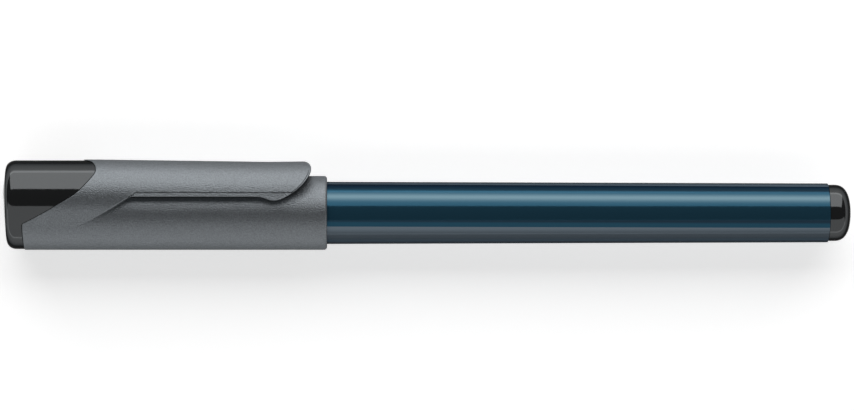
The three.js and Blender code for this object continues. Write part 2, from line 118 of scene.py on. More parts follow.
# Front section as [x, radius, rounding] corners: cone, collar, grip, snap bead, flange, spigot and bore
FRONT_CORNERS = [
    (13.7, 0.6, 0),
    (13.7, 1.1, 0.15),
    (20.2, 2.3, 0.3),
    (20.2, 3.0, 0.25),
    (23.8, 3.0, 0.2),
    (23.8, 2.6, 0.15),
    (25.2, 2.6, 0.2),
    (25.2, 3.7, 0.35),
    (37.4, 4.245, 0.3),
    (37.8, 4.795, 0.2),
    (38.6, 4.795, 0.2),
    (39.0, 4.245, 0.3),
    (40.5, 4.245, 0.15),
    (40.5, 5.145, 0.1),
    (41.25, 5.145, 0.05),
    (41.25, 4.32, 0),
    (47.95, 4.3, 0.2),
    (47.95, 3.42, 0),
    (33.42, 3.42, 0),
    (30.0, 0.6, 0),
]

# Nib, seal thimble, ink core and its film
NIB_X, NIB_END_X = 11.5, 53.25
NIB_R, NIB_TIP_R = 0.55, 0.35
NIB_CONE_X = 13.1
SEAL_X, SEAL_END_X, SEAL_BORE_X = 5.35, 24.5, 6.2
SEAL_R, SEAL_BORE_R = 3.95, 3.1
SEAL_RINGS_X = (8.85, 19.6)
SEAL_RING_R, SEAL_RING_WIDTH = 4.295, 1.4
CORE_X, CORE_END_X, CORE_R = 48.25, 130.7, 3.87
NIB_HOLE_X, NIB_HOLE_R = 53.55, 0.6
FILM_R, FILM_OUTER_R = 3.9, 4.0

# Cross-section of the cap's head and clip: a round belly, two shoulder arcs and flats between them
SHOULDER_R = 6.3
SHOULDER_Z = 1.0
CROWN = 8.9
WAIST_CROWN = 8.52
NOSE_CROWN = 8.58
HEAD_LEVEL_X = 16.0
WAIST_X = 44.0
END_INSET = 0.13

# Closed end of the cap
CORNER_IN = 1.43
CORNER_BACK = 2.1
DOME_IN = 5.6
TOP_REACH, BOTTOM_REACH = 4.4, 6.4
TOP_BACK, BOTTOM_BACK = 0.42, 0.53

# Seam between the glossy end and the sleeve, as [x, y] in the side view
SEAM_FOOT = (3.43, -6.2)
SEAM_CORNER = (3.3, -1.88)
SEAM_SAG = (7.6, 0.24)
SEAM_BEND = (11.74, 2.8)
SEAM_RISE = (12.88, 3.5)
SEAM_NOSE = (13.97, 7.2)
SEAM_NOSE_R = 1.53
SEAM_NOSE_FROM = -33.0
SEAM_NOSE_TO = 80.0
SEAM_TOP = (13.2, 8.9)
SEAM_GAP = 0.07

# Step from the head down to the round sleeve
STEP_FOOT = (12.0, -2.65)
STEP_BEND = (17.7, 0.25)
STEP_TOP = (21.25, 2.67)

# Clip
ROOT_X = 21.25
CREASE_X = 22.3
CREASE_Y = 3.42
GROOVE = 0.12
GROOVE_DEPTH = 0.3
RIM = 0.24
RIM_FROM_Y, RIM_TO_Y = 7.3, 5.8
BAND_SLOPE = 0.2
BAND_EDGE_Z = 7.29
EDGE_Y = 2.67
CLIP_FLAT_SHARE = 0.12
CLIP_WALL = 1.55
CLIP_BODY_GAP = 0.16
NUB_X = 45.05
NUB_Y = 2.02
NUB_HALF = 3.6
NUB_THICKNESS = 0.7
NUB_FALL = [(42.0, 2.67), (43.7, 2.67), (44.0, 2.02), (NUB_X, NUB_Y)]
TIP_RISE = [(46.9, 2.02), (50.77, 4.62)]
TIP_SHARE = 0.22
NOSE = (50.03, 7.38)
NOSE_R = 1.2
NOSE_FROM = -10.0

# Widths of the rounded edges. Edges of the sleeve get EDGE_SHARE of theirs, but the step's outer edge gets
# as large a share as the step's height is of FULL_STEP_EDGE, and its foot as it is of FULL_STEP_FOOT.
SLEEVE_BEVEL, END_BEVEL, CLIP_BEVEL = 0.2, 0.06, 0.11
FULL_STEP_EDGE, FULL_STEP_FOOT = 0.45, 0.8
EDGE_SHARE = 0.5
BEVEL_SEGMENTS = 3

# How far an edge may lie from the line that picks it
TOUCH = 0.001
NEAR = 0.02
BESIDE = 0.05
BAND_REACH = 1.0

# Print on the barrel, as angles round it from straight up towards the clip, with painted light on it. It
# sits slightly askew: it turns by so many degrees for each millimetre past the cap's mouth, and the
# painted highlight along its blue has a turn of its own. Painted shade darkens the blue up to the field's
# upper edge, and as much in a line above the field's lower edge that starts over WEDGE_FROM and ends, in
# the print's own angles, over WEDGE_TO. Painted shade darkens the grey towards the barrel's rims and
# lightens it again over
# RETURN_FROM, as angles from the field's middle.
FIELD = (-25.7, 67.0)
FIELD_TURN = -0.055
FIELD_BLUR = 0.2
# Painted highlight along the blue: its middle, its spread and its own turn, in degrees.
HIGHLIGHT_AT = 31.6
HIGHLIGHT_SPREAD = 5.0
HIGHLIGHT_TURN = -0.03
# Painted shade: the blue darkens up to its upper edge over these angles, and in a thin line above its
# lower edge.
TOP_SHADE = (45.5, 52.0)
WEDGE_FROM = (-12.5, -15.0)
WEDGE_TO = (-18.2, -14.2)
# Painted shade on the grey towards the barrel's rims, and where it lightens again further round.
RIM_SHADE_FROM, RIM_SHADE_SHARE = (52, 64), 0.66
RETURN_FROM, RETURN_SHARE = (77, 87), 0.4

# Colours, linear
GREY_DARK, GREY_LIGHT = (0.128, 0.1395, 0.1485, 1), (0.179, 0.1935, 0.2055, 1)
GLOSS = (0.0615, 0.0642, 0.0658, 1)
# Print on the barrel: grey and the painted shade on it, then blue, the painted highlight on it and the
# painted shade on it.
PRINT_GREY, PAINTED_SHADE_GREY = (0.118, 0.149, 0.178, 1), (0.02, 0.024, 0.028, 1)
PRINT_BLUE, PAINTED_HIGHLIGHT = (0.018, 0.062, 0.098, 1), (0.108, 0.178, 0.215, 1)
PAINTED_SHADE_BLUE = (0.016, 0.033, 0.051, 1)
SEAL_WHITE = (0.78, 0.79, 0.77)
NIB_BLACK, CORE_BLACK = (0.03, 0.03, 0.034), (0.05, 0.05, 0.06)
FILM_DARK, FILM_LIGHT = (0.55, 0.58, 0.6, 1), (0.68, 0.71, 0.73, 1)

# Most of a noise's values lie in this range. Strands are stretched along the pen by one over this share.
NOISE_RANGE = (0.3, 0.7)
STRAND_STRETCH = 0.04

# Mesh fineness: columns round half of the cap, from its crown to its bottom
TOP_COLUMNS = 3
CROWN_COLUMNS = 44
LOW_COLUMNS = 12
FLANK_COLUMNS = 8
BELLY_COLUMNS = 34
BAND_COLUMNS = 4

# Rows along the cap's surfaces. Head and skin have few, so that no rounded edge runs past the next row.
HEAD_ROWS = 22
BODY_ROWS = 60
BORE_ROWS = 8
SKIN_ROWS = 10
DOME_ROWS = 12
WALL_ROWS = 5
ROOT_ROWS = 4
CLIP_ROWS = 92
CLIP_INNER_ROWS = 95
CLIP_EDGE_ROWS = 3
CLIP_ROOT_ROWS = 2

# Steps along the side-view lines and the turned profiles, and sides round the turned pieces
SEAM_STEPS = 30
LINE_STEPS = 24
STEP_STEPS = 40
RISE_STEPS = 12
TIP_STEPS = 30
NOSE_STEPS = 40
ARC_STEPS = 6
TAIL_STEPS = 28
BARREL_STEPS = 24
NIB_STEPS = 8
TURNED_SIDES = 160
NIB_SIDES = 48

# Passes that find where a column meets a side-view line
STEP_PASSES = 4
TIP_PASSES = 8

# Turns from face to face that count as a sharp edge, in degrees, and the least length to divide by
BEVEL_TURN, TURNED_TURN = 28.0, 30.0
TINY = 1e-9


def lerp(a, b, t):
    return a + (b - a) * t


def spaced(a, b, steps):
    """steps + 1 values from a to b."""
    return [lerp(a, b, i / steps) for i in range(steps + 1)]


def bezier(points, t):
    """A point of the Bezier curve with these control points."""
    while len(points) > 1:
        points = [tuple(lerp(p, q, t) for p, q in zip(a, b)) for a, b in zip(points, points[1:])]
    return points[0]


def on_arc(centre, radius, degrees):
    turn = math.radians(degrees)
    return centre[0] + radius * math.cos(turn), centre[1] + radius * math.sin(turn)


def x_at(line, y):
    """Where a side-view line that climbs in y passes this height."""
    if y <= line[0][1]:
        return line[0][0]
    for (x0, y0), (x1, y1) in zip(line, line[1:]):
        if y <= y1:
            return lerp(x0, x1, (y - y0) / max(y1 - y0, TINY))
    return line[-1][0]


def y_at(line, x):
    """Height at which a side-view line that runs on in x passes this x."""
    return x_at([(b, a) for a, b in line], x)


def seam_line():
    start = on_arc(SEAM_NOSE, SEAM_NOSE_R, SEAM_NOSE_FROM)
    line = [SEAM_FOOT]
    line += [bezier([SEAM_CORNER, SEAM_SAG, SEAM_BEND], t) for t in spaced(0, 1, SEAM_STEPS)]
    line += [bezier([SEAM_BEND, SEAM_RISE, start], t) for t in spaced(0, 1, LINE_STEPS)[1:]]
    turns = spaced(SEAM_NOSE_FROM, SEAM_NOSE_TO, LINE_STEPS)[1:]
    return line + [on_arc(SEAM_NOSE, SEAM_NOSE_R, a) for a in turns] + [SEAM_TOP]


def step_line():
    return [bezier([STEP_FOOT, STEP_BEND, STEP_TOP], t) for t in spaced(0, 1, STEP_STEPS)]


def rise_line(start, end, steps):
    """Part of the curve from the nub's lowest point up to the clip's nose."""
    controls = [(NUB_X, NUB_Y), *TIP_RISE, on_arc(NOSE, NOSE_R, NOSE_FROM)]
    return [bezier(controls, t) for t in spaced(start, end, steps)]


def lower_line():
    fall = [bezier(NUB_FALL, t) for t in spaced(0, 1, LINE_STEPS)]
    return fall + rise_line(0, TIP_SHARE, RISE_STEPS)[1:]


def tip_line():
    nose = [on_arc(NOSE, NOSE_R, a) for a in spaced(NOSE_FROM, 90, NOSE_STEPS)[1:]]
    return rise_line(TIP_SHARE, 1, TIP_STEPS) + nose


SEAM = seam_line()
STEP = step_line()
LOWER = lower_line()
TIP = tip_line()
TIP_START = TIP[0]


def crown(x):
    """Height of the crown above the axis."""
    if x <= HEAD_LEVEL_X:
        return CROWN
    if x <= WAIST_X:
        return lerp(CROWN, WAIST_CROWN, (x - HEAD_LEVEL_X) / (WAIST_X - HEAD_LEVEL_X))
    return lerp(WAIST_CROWN, NOSE_CROWN, (x - WAIST_X) / (NOSE[0] - WAIST_X))


def edge_y(x):
    """Lower edge of the clip's side, with the nub's drop."""
    return y_at(LOWER, x)


def crease_y(x):
    """Where the clip's skin ends and its side band starts."""
    return lerp(EDGE_Y, CREASE_Y, min(1, (x - ROOT_X) / (CREASE_X - ROOT_X)))


def shoulder_point(x, angle, inset=0.0):
    """[y, z] on the shoulder arc at this angle from the crown, in radians."""
    radius = SHOULDER_R - inset
    return crown(x) - SHOULDER_R + radius * math.cos(angle), SHOULDER_Z + radius * math.sin(angle)


def shoulder_angle(x, y, inset=0.0):
    """Angle at which the shoulder arc passes this height."""
    return math.acos((y - crown(x) + SHOULDER_R) / (SHOULDER_R - inset))


def flank_angle(x):
    """Angle of the flat flank that touches both the shoulder and the belly."""
    up = crown(x) - SHOULDER_R
    return math.atan2(SHOULDER_Z, up) + math.acos((BODY_R - SHOULDER_R) / math.hypot(up, SHOULDER_Z))


EDGE_ANGLE = shoulder_angle(ROOT_X, EDGE_Y)
EDGE_COLUMN = TOP_COLUMNS + CROWN_COLUMNS
TANGENT_COLUMN = EDGE_COLUMN + LOW_COLUMNS + FLANK_COLUMNS
LAST_COLUMN = TANGENT_COLUMN + BELLY_COLUMNS


def hull_point(x, k, inset=0.0):
    """[y, z] of column k of the head's outer surface, from the crown (0) round to the bottom."""
    flank = flank_angle(x)
    if k <= TOP_COLUMNS:
        return crown(x) - inset, SHOULDER_Z * k / TOP_COLUMNS
    if k <= EDGE_COLUMN:
        return shoulder_point(x, EDGE_ANGLE * (k - TOP_COLUMNS) / CROWN_COLUMNS, inset)
    if k <= EDGE_COLUMN + LOW_COLUMNS:
        return shoulder_point(x, lerp(EDGE_ANGLE, flank, (k - EDGE_COLUMN) / LOW_COLUMNS), inset)
    belly = BODY_R - inset
    if k <= TANGENT_COLUMN:
        y0, z0 = shoulder_point(x, flank, inset)
        t = (k - EDGE_COLUMN - LOW_COLUMNS) / FLANK_COLUMNS
        return lerp(y0, belly * math.cos(flank), t), lerp(z0, belly * math.sin(flank), t)
    turn = lerp(flank, math.pi, (k - TANGENT_COLUMN) / BELLY_COLUMNS)
    return belly * math.cos(turn), belly * math.sin(turn)


def head_end(k):
    """Where column k of the head ends: at the clip's root, at the step, or at the step's foot."""
    if k <= EDGE_COLUMN:
        return ROOT_X
    x = ROOT_X
    for _ in range(STEP_PASSES):
        x = x_at(STEP, hull_point(x, min(k, TANGENT_COLUMN))[0])
    return x


def tube_angle(k):
    """Angle of column k round the plain sleeve, at the same height as the head's column where it steps."""
    top = math.acos(EDGE_Y / BODY_R)
    if k <= EDGE_COLUMN:
        return top * k / EDGE_COLUMN
    x = head_end(k)
    if k < TANGENT_COLUMN:
        return math.acos(hull_point(x, k)[0] / BODY_R)
    return lerp(flank_angle(x), math.pi, (k - TANGENT_COLUMN) / BELLY_COLUMNS)


HEAD_ENDS = [head_end(k) for k in range(LAST_COLUMN + 1)]
TUBE_ANGLES = [tube_angle(k) for k in range(LAST_COLUMN + 1)]


def round_point(radius, k):
    return radius * math.cos(TUBE_ANGLES[k]), radius * math.sin(TUBE_ANGLES[k])


def ruled(a, b, steps, line=None, shift=0.0):
    """Points from a to b, both [x, y, z], kept on the prism of a side-view line where one is given."""
    points = []
    for t in spaced(0, 1, steps):
        y, z = lerp(a[1], b[1], t), lerp(a[2], b[2], t)
        points.append((x_at(line, y) + shift if line else lerp(a[0], b[0], t), y, z))
    return points


def mirrored_mesh(name, strips, fans=(), weld=1e-7):
    """A closed mesh from strips (rows of points) and fans (a centre and a row), mirrored across Z = 0."""
    bm = bmesh.new()
    for side in (1, -1):
        for rows in strips:
            grid = [[bm.verts.new(place(x, y, side * z)) for x, y, z in row] for row in rows]
            for above, below in zip(grid, grid[1:]):
                for i in range(len(above) - 1):
                    bm.faces.new((above[i], above[i + 1], below[i + 1], below[i])[::side])
        for centre, row in fans:
            hub = bm.verts.new(place(*centre))
            rim = [bm.verts.new(place(x, y, side * z)) for x, y, z in row]
            for a, b in zip(rim, rim[1:]):
                bm.faces.new((hub, a, b)[::side])
    bmesh.ops.remove_doubles(bm, verts=bm.verts, dist=weld)
    bmesh.ops.dissolve_degenerate(bm, edges=bm.edges, dist=weld)
    bmesh.ops.recalc_face_normals(bm, faces=bm.faces)
    return to_object(name, bm)


def to_object(name, bm):
    for face in bm.faces:
        face.smooth = True
    mesh = bpy.data.meshes.new(name)
    bm.to_mesh(mesh)
    bm.free()
    obj = bpy.data.objects.new(name, mesh)
    bpy.context.scene.collection.objects.link(obj)
    return obj


def soften(obj, width, spare=None, share=None):
    """Rounds the sharp edges of a mesh and keeps the flats flat.

    Edges that spare() picks stay as they are, and share() gives an edge's part of the full width.
    """
    weights = obj.data.attributes.new("bevel_weight_edge", "FLOAT", "EDGE")
    bm = bmesh.new()
    bm.from_mesh(obj.data)
    values = []
    for edge in bm.edges:
        steep = len(edge.link_faces) == 2 and edge.calc_face_angle(0) > math.radians(BEVEL_TURN)
        kept = spare is not None and spare(edge)
        part = share(edge) if share else 1.0
        values.append(part if steep and not kept else 0.0)
    sharp_edges = [v == 0 and spare is not None and spare(e) for v, e in zip(values, bm.edges)]
    bm.free()
    weights.data.foreach_set("value", values)
    for edge, mark in zip(obj.data.edges, sharp_edges):
        edge.use_edge_sharp = bool(mark)
    bevel = obj.modifiers.new("Soft edges", "BEVEL")
    bevel.limit_method = "WEIGHT"
    bevel.width = width * MM
    bevel.segments = BEVEL_SEGMENTS
    bevel.use_clamp_overlap = False
    bevel.harden_normals = True
    return obj


def column_rows(point, starts, ends, steps, columns):
    """Rows from one line to another along X: point(x, k) gives [y, z], starts and ends give x."""
    rows = []
    for t in spaced(0, 1, steps):
        row = []
        for k in columns:
            x = lerp(starts[k], ends[k], t)
            row.append((x, *point(x, k)))
        rows.append(row)
    return rows


ALL_COLUMNS = range(LAST_COLUMN + 1)


def round_rows(profile):
    """Rows of the plain round surfaces, from [x, radius] points."""
    return [[(x, *round_point(r, k)) for k in ALL_COLUMNS] for x, r in profile]


def arc_profile(centre, radius, start, end):
    return [on_arc(centre, radius, a) for a in spaced(start, end, ARC_STEPS)]


def round_wall(radius):
    """A round surface, as column_rows() asks for it."""
    return lambda x, k: round_point(radius, k)


def all_at(x):
    """The same x for every column."""
    return [x] * (LAST_COLUMN + 1)


def cap_sleeve():
    """Satin sleeve: the thick head behind the seam, the step, the round body, the mouth and the bore."""
    seam = [x_at(SEAM, hull_point(SEAM_NOSE[0], k)[0]) + SEAM_GAP for k in ALL_COLUMNS]
    head = column_rows(hull_point, seam, HEAD_ENDS, HEAD_ROWS, ALL_COLUMNS)
    wall = []
    for k in range(TANGENT_COLUMN + 1):
        x = HEAD_ENDS[k]
        wall.append(ruled((x, *hull_point(x, k)), (x, *round_point(BODY_R, k)), 1))
    mouth_x = CAP_LENGTH - MOUTH_ROUND
    mouth = arc_profile((mouth_x, BODY_R - MOUTH_ROUND), MOUTH_ROUND, 90, 0)
    body = column_rows(round_wall(BODY_R), HEAD_ENDS, all_at(mouth_x), BODY_ROWS, ALL_COLUMNS)
    snap_r, snap_x = NARROW_BORE_R - SNAP_HEIGHT, SEAT_X - SNAP_RAMP
    bore = [
        (CAP_LENGTH, MOUTH_BORE_R + MOUTH_LEAD),
        (CAP_LENGTH - MOUTH_LEAD, MOUTH_BORE_R),
        (SEAT_X, MOUTH_BORE_R),
        (SEAT_X, NARROW_BORE_R),
        (snap_x, snap_r),
        (snap_x - SNAP_LENGTH, snap_r),
        (snap_x - SNAP_LENGTH - SNAP_RAMP, NARROW_BORE_R),
        (SHELL_BORE_X, NARROW_BORE_R),
        (SHELL_BORE_X, SHELL_BORE_R),
    ]
    inner = [x_at(SEAM, round_point(SHELL_BORE_R, k)[0]) + SEAM_GAP for k in ALL_COLUMNS]
    start = all_at(SHELL_BORE_X)
    sleeve = column_rows(round_wall(SHELL_BORE_R), start, inner, BORE_ROWS, ALL_COLUMNS)
    rim = []
    for k in ALL_COLUMNS:
        a = (seam[k], *hull_point(SEAM_NOSE[0], k))
        b = (inner[k], *round_point(SHELL_BORE_R, k))
        rim.append(ruled(a, b, ARC_STEPS, SEAM, SEAM_GAP))
    strips = [head, wall, body, round_rows(mouth + bore), sleeve, rim]
    return mirrored_mesh("cap_sleeve", strips)


def band_point(x, t):
    """[y, z] on the band along the clip's side, t from its top to the lower edge."""
    y = lerp(crease_y(x) - GROOVE, edge_y(x), t)
    level = BAND_EDGE_Z - BAND_SLOPE * (y - edge_y(x))
    return y, lerp(shoulder_point(x, shoulder_angle(x, y))[1], level, band_share(x))


def band_share(x):
    """How far the band has parted from the skin: 0 at the root, 1 from the crease's corner on."""
    return min(1.0, max(0.0, (x - ROOT_X) / (CREASE_X - ROOT_X)))


CLIP_COLUMNS = EDGE_COLUMN + 2 + BAND_COLUMNS


def clip_outer(x, k):
    """[y, z] of column k of the clip's outside: skin, groove and band."""
    if k <= TOP_COLUMNS:
        return crown(x), SHOULDER_Z * k / TOP_COLUMNS
    if k <= EDGE_COLUMN:
        angle = shoulder_angle(x, crease_y(x))
        return shoulder_point(x, angle * (k - TOP_COLUMNS) / CROWN_COLUMNS)
    if k == EDGE_COLUMN + 1:
        y, z = shoulder_point(x, shoulder_angle(x, crease_y(x) - GROOVE / 2))
        return y, z - GROOVE_DEPTH * band_share(x)
    return band_point(x, (k - EDGE_COLUMN - 2) / BAND_COLUMNS)


def clip_inset(x):
    """Thickness of the clip, which grows at the nub."""
    along = min(1.0, abs(x - NUB_X) / NUB_HALF)
    return CLIP_WALL + NUB_THICKNESS * (0.5 + 0.5 * math.cos(math.pi * along))


def clip_inner(x, k):
    """[y, z] of column k of the clip's inside, clear of the sleeve's body."""
    inset = clip_inset(x)
    clear = BODY_R + CLIP_BODY_GAP
    share = k / CLIP_COLUMNS
    angle = shoulder_angle(x, edge_y(x), inset)
    flat = CLIP_FLAT_SHARE
    if share <= flat:
        y, z = crown(x) - inset, SHOULDER_Z * share / flat
    else:
        y, z = shoulder_point(x, angle * (share - flat) / (1 - flat), inset)
    if math.hypot(y, z) < clear:
        z = math.sqrt(max(clear * clear - y * y, 0))
    return y, z


def tip_x(point, k):
    """Where a column of the clip meets the outline of its end."""
    x = TIP_START[0]
    for _ in range(TIP_PASSES):
        x = x_at(TIP, point(x, k)[0])
    return x


def rim_rows(ends, columns):
    """Rows of the skin near the clip's end: a fine groove that sets off its rim, then the rim itself."""
    rows = []
    for before, sunk in ((RIM + GROOVE, 0.0), (RIM + GROOVE / 2, 1.0), (RIM, 0.0), (0.0, 0.0)):
        row = []
        for k in columns:
            x = ends[k] - before
            y, z = clip_outer(x, k)
            if k <= EDGE_COLUMN:
                share = min(1.0, max(0.0, (RIM_FROM_Y - y) / (RIM_FROM_Y - RIM_TO_Y)))
                z -= GROOVE_DEPTH * sunk * share
            row.append((x, y, z))
        rows.append(row)
    return rows


def pocket_clip():
    """Clip: a tongue of the head's own skin with a side band, a nub and a sloping round end."""
    columns = range(CLIP_COLUMNS + 1)
    surfaces = []
    for point in (clip_outer, clip_inner):
        root = [ROOT_X] * (CLIP_COLUMNS + 1)
        crease = [CREASE_X] * (CLIP_COLUMNS + 1)
        ends = [tip_x(point, k) for k in columns]
        rows = column_rows(point, root, crease, ROOT_ROWS, columns)
        if point is clip_outer:
            near = [x - RIM - GROOVE for x in ends]
            rows += column_rows(point, crease, near, CLIP_ROWS, columns)[1:-1] + rim_rows(ends, columns)
        else:
            rows += column_rows(point, crease, ends, CLIP_INNER_ROWS, columns)[1:]
        surfaces.append(rows)
    outer, inner = surfaces
    edge = [ruled(a[-1], b[-1], CLIP_EDGE_ROWS) for a, b in zip(outer, inner)]
    end = [ruled(a, b, WALL_ROWS, TIP) for a, b in zip(outer[-1], inner[-1])]
    root = [ruled(a, b, CLIP_ROOT_ROWS) for a, b in zip(outer[0], inner[0])]
    return mirrored_mesh("pocket_clip", [outer, inner, edge, end, root])


def closed_end():
    """Glossy end: domed face, corner, outer surface up to the seam, and the skirt inside the sleeve."""
    def face(k, inset):
        share = (1 - hull_point(0, k)[0] / CROWN) / (1 + BODY_R / CROWN)
        reach, back = lerp(TOP_REACH, BOTTOM_REACH, share), lerp(TOP_BACK, BOTTOM_BACK, share)
        if inset >= CORNER_IN:
            return back * max(0, reach - inset) / (reach - CORNER_IN)
        turn = math.acos(1 - (inset - END_INSET) / (CORNER_IN - END_INSET))
        return CORNER_BACK - (CORNER_BACK - back) * math.sin(turn)

    insets = spaced(DOME_IN, CORNER_IN, DOME_ROWS)
    for degrees in spaced(90, 0, DOME_ROWS)[1:]:
        insets.append(lerp(END_INSET, CORNER_IN, 1 - math.cos(math.radians(degrees))))
    dome = [[(face(k, inset), *hull_point(0, k, inset)) for k in ALL_COLUMNS] for inset in insets]
    seam = [x_at(SEAM, hull_point(CORNER_BACK, k, END_INSET)[0]) for k in ALL_COLUMNS]
    start = all_at(CORNER_BACK)
    skin = column_rows(lambda x, k: hull_point(x, k, END_INSET), start, seam, SKIN_ROWS, ALL_COLUMNS)
    skirt_x = [x_at(SEAM, round_point(SKIRT_R, k)[0]) for k in ALL_COLUMNS]
    wall = []
    for k in ALL_COLUMNS:
        a = (seam[k], *hull_point(CORNER_BACK, k, END_INSET))
        b = (skirt_x[k], *round_point(SKIRT_R, k))
        wall.append(ruled(a, b, WALL_ROWS, SEAM))
    skirt = column_rows(round_wall(SKIRT_R), skirt_x, all_at(SKIRT_END_X), BORE_ROWS, ALL_COLUMNS)
    bore = round_rows([(SKIRT_END_X, SKIRT_R), (SKIRT_END_X, SKIRT_BORE_R), (END_WALL, SKIRT_BORE_R)])
    middle = (dome[0][0][1] + dome[0][-1][1]) / 2
    fans = [((0, middle, 0), dome[0]), ((END_WALL, 0, 0), bore[-1])]
    return mirrored_mesh("closed_end", [dome, skin, wall, skirt, bore], fans)


def rounded(corners):
    """A profile of [x, radius] points from corners [x, radius, rounding]."""
    points = []
    for i, (x, r, size) in enumerate(corners):
        if size == 0:
            points.append((x, r))
            continue
        before, after = Vector(corners[i - 1][:2]), Vector(corners[(i + 1) % len(corners)][:2])
        here = Vector((x, r))
        inward, onward = (before - here).normalized(), (after - here).normalized()
        reach = size / math.tan(inward.angle(onward) / 2)
        a, b = here + inward * reach, here + onward * reach
        for t in spaced(0, 1, ARC_STEPS):
            points.append(bezier([tuple(a), tuple(here), tuple(b)], t))
    return points


def turned(name, profile, sides=TURNED_SIDES):
    """A round piece: the profile of [x, radius] points closes on itself or starts and ends on the axis."""
    bm = bmesh.new()
    rings = []
    for x, r in profile:
        if r == 0:
            rings.append([bm.verts.new(place(x, 0, 0))] * sides)
            continue
        turns = [2 * math.pi * i / sides for i in range(sides)]
        rings.append([bm.verts.new(place(x, r * math.cos(t), r * math.sin(t))) for t in turns])
    on_axis = profile[0][1] == 0
    pairs = list(zip(rings, rings[1:])) + ([] if on_axis else [(rings[-1], rings[0])])
    for above, below in pairs:
        for i in range(sides):
            j = (i + 1) % sides
            corners = dict.fromkeys((above[i], above[j], below[j], below[i]))
            if len(corners) > 2:
                bm.faces.new(tuple(corners))
    bmesh.ops.recalc_face_normals(bm, faces=bm.faces)
    for edge in bm.edges:
        if len(edge.link_faces) == 2 and edge.calc_face_angle(0) > math.radians(TURNED_TURN):
            edge.smooth = False
    return to_object(name, bm)


def barrel_radius(x):
    return lerp(BARREL_FRONT_R, BARREL_TAIL_R, (x - BARREL_X) / (BARREL_END_X - BARREL_X))


def barrel_tube():
    steps = spaced(BARREL_X, BARREL_END_X, BARREL_STEPS)
    outside = [(x, barrel_radius(x)) for x in steps[1:-1]]
    front = [
        (BARREL_X, BARREL_FRONT_R - BARREL_WALL, 0),
        (BARREL_X, BARREL_FRONT_R, BARREL_FRONT_ROUND),
        (*outside[0], 0),
    ]
    tail = [
        (*outside[-1], 0),
        (BARREL_END_X, BARREL_TAIL_R, BARREL_TAIL_ROUND),
        (BARREL_END_X, BARREL_TAIL_R - BARREL_WALL, 0),
    ]
    return turned("barrel_tube", rounded(front)[:-1] + outside + rounded(tail)[1:])


def tail_dome():
    """Tail plug: a superellipse dome cut off at its small flat, a seat and a hollow spigot."""
    share = (1 - (TAIL_FLAT_R / TAIL_R) ** TAIL_FULLNESS) ** (1 / TAIL_ROUNDNESS)
    dome = []
    for degrees in spaced(0, 90, TAIL_STEPS):
        along = share * math.sin(math.radians(degrees))
        radius = TAIL_R * (1 - along**TAIL_ROUNDNESS) ** (1 / TAIL_FULLNESS)
        dome.append((lerp(TAIL_DOME_X, LENGTH, along / share), radius))
    inner_r = TAIL_SPIGOT_R - TAIL_SPIGOT_WALL
    inside = [(BARREL_END_X, 0), (BARREL_END_X, inner_r), (TAIL_SPIGOT_X, inner_r)]
    outside = [(TAIL_SPIGOT_X, TAIL_SPIGOT_R), (TAIL_SEAT_X, TAIL_SPIGOT_R), (TAIL_SEAT_X, TAIL_R)]
    return turned("tail_dome", inside + outside + dome + [(LENGTH, 0)])


def front_holder():
    return turned("front_holder", rounded(FRONT_CORNERS))


def fibre_nib():
    tip = [on_arc((NIB_X + NIB_TIP_R, 0), NIB_TIP_R, degrees) for degrees in spaced(180, 90, NIB_STEPS)]
    tip[0] = (NIB_X, 0)
    shaft = [(NIB_CONE_X, NIB_R), (NIB_END_X, NIB_R), (NIB_END_X, 0)]
    return turned("fibre_nib", tip + shaft, NIB_SIDES)


def seal_thimble():
    """Soft thimble with two rings that hold it in the cap's skirt."""
    rings = []
    for x in SEAL_RINGS_X:
        after = x + SEAL_RING_WIDTH
        rings += [(x, SEAL_R, 0), (x, SEAL_RING_R, 0.1), (after, SEAL_RING_R, 0.1), (after, SEAL_R, 0)]
    closed = [(SEAL_X, 0, 0), (SEAL_X, SEAL_R, 0.3)]
    mouth = [(SEAL_END_X, SEAL_R, 0.1), (SEAL_END_X, SEAL_BORE_R, 0.2)]
    bore = [(SEAL_BORE_X, SEAL_BORE_R, 0.3), (SEAL_BORE_X, 0, 0)]
    return turned("seal_thimble", rounded(closed + rings + mouth + bore))


def ink_core():
    hole = [(NIB_HOLE_X, 0, 0), (NIB_HOLE_X, NIB_HOLE_R, 0), (CORE_X, NIB_HOLE_R, 0)]
    outside = [(CORE_X, CORE_R, 0.2), (CORE_END_X, CORE_R, 0.2), (CORE_END_X, 0, 0)]
    return turned("ink_core", rounded(hole + outside))


def core_film():
    corners = [(CORE_X, FILM_R), (CORE_X, FILM_OUTER_R), (CORE_END_X, FILM_OUTER_R), (CORE_END_X, FILM_R)]
    return turned("core_film", corners)


